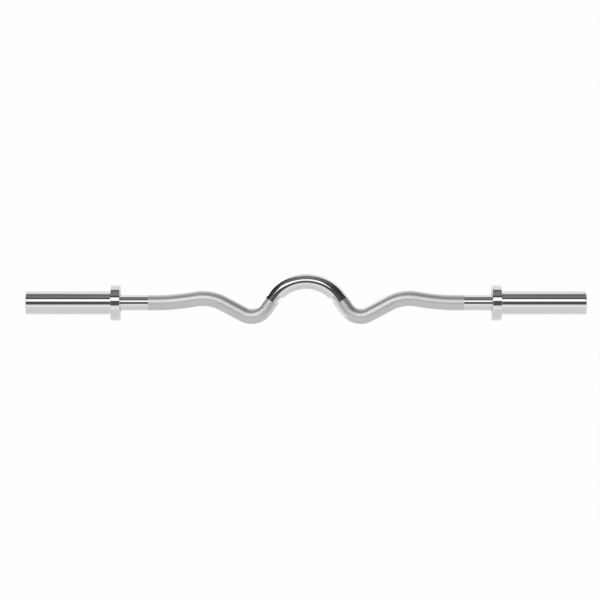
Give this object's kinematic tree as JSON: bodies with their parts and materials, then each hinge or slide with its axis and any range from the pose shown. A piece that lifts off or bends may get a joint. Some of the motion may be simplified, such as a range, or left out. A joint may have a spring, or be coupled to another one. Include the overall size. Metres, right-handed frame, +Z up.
{
  "type": "ez curl bar",
  "caption": "Bent weightlifting bar with a wavy knurled grip, a plain raised middle bend and free-spinning plate sleeves behind stop collars.",
  "frame": {"origin": "half way along the bar, on the axis that both sleeves turn about, midway between the two rack seats", "axes": "+X along the bar to the right sleeve; +Z up, the way the middle bend rises; +Y away from the viewer, square to the plane of the bends"},
  "size_m": [1.22, 0.076, 0.1091],
  "materials": {
    "chrome": "bright chrome plate; satin where the shaft is knurled",
    "bronze": "oil-soaked sintered bronze",
    "ground_steel": "ground flat",
    "spring_steel": "dark phosphated spring steel",
    "seal_rubber": "matt black"
  },
  "bodies": {
    "bar": {"shaft": "chrome", "left_inner_thrust_washer": "ground_steel", "left_outer_thrust_washer": "ground_steel", "left_shaft_retaining_ring": "spring_steel", "right_inner_thrust_washer": "ground_steel", "right_outer_thrust_washer": "ground_steel", "right_shaft_retaining_ring": "spring_steel"},
    "left_sleeve_unit": {"left_sleeve": "chrome", "left_collar": "chrome", "left_inner_bush": "bronze", "left_outer_bush": "bronze", "left_dust_seal": "seal_rubber", "left_end_cap": "chrome", "left_end_cap_retaining_ring": "spring_steel"},
    "right_sleeve_unit": {"right_sleeve": "chrome", "right_collar": "chrome", "right_inner_bush": "bronze", "right_outer_bush": "bronze", "right_dust_seal": "seal_rubber", "right_end_cap": "chrome", "right_end_cap_retaining_ring": "spring_steel"}
  },
  "joints": [
    {"name": "left_sleeve_spin", "type": "hinge", "parent": "bar", "child": "left_sleeve_unit", "pos_m": [-0.503, 0, 0], "axis": [1, 0, 0], "continuous": true},
    {"name": "right_sleeve_spin", "type": "hinge", "parent": "bar", "child": "right_sleeve_unit", "pos_m": [0.503, 0, 0], "axis": [1, 0, 0], "continuous": true}
  ]
}
